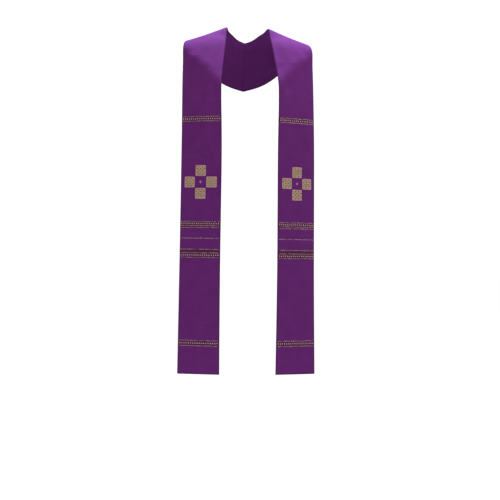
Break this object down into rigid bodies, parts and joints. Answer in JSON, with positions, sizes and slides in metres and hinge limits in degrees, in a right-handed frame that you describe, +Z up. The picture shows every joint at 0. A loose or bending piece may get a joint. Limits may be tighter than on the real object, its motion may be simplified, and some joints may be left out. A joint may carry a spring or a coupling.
{
  "type": "clerical stole",
  "caption": "Long purple liturgical stole hanging as worn, with woven bands across it and an embroidered cross of squares on each front.",
  "frame": {"origin": "on the neck edge at the centre of the nape, where the stole rests on its wearer", "axes": "+Z up, +X to the wearer's left, front of the garment towards -Y"},
  "size_m": [0.4708, 0.2734, 1.1959],
  "materials": {
    "cloth": "plain-woven purple wool blend with a faint crosswise slub and a soft, nearly matt sheen",
    "woven_band": "dull gold and maroon threads woven across the cloth in lines and small teeth",
    "embroidery": "squares filled with dull gold thread stitching, with a lighter corded outline"
  },
  "bodies": {
    "root": {"left_half": "cloth", "left_band_hem": "woven_band", "left_band_waist_low": "woven_band", "left_line_waist": "woven_band", "left_band_waist_high": "woven_band", "left_band_chest": "woven_band", "left_cross_top": "embroidery", "left_cross_bottom": "embroidery", "left_cross_inner": "embroidery", "left_cross_outer": "embroidery", "left_cross_lozenge": "embroidery", "right_half": "cloth", "right_band_hem": "woven_band", "right_band_waist_low": "woven_band", "right_line_waist": "woven_band", "right_band_waist_high": "woven_band", "right_band_chest": "woven_band", "right_cross_top": "embroidery", "right_cross_bottom": "embroidery", "right_cross_inner": "embroidery", "right_cross_outer": "embroidery", "right_cross_lozenge": "embroidery"}
  },
  "joints": []
}
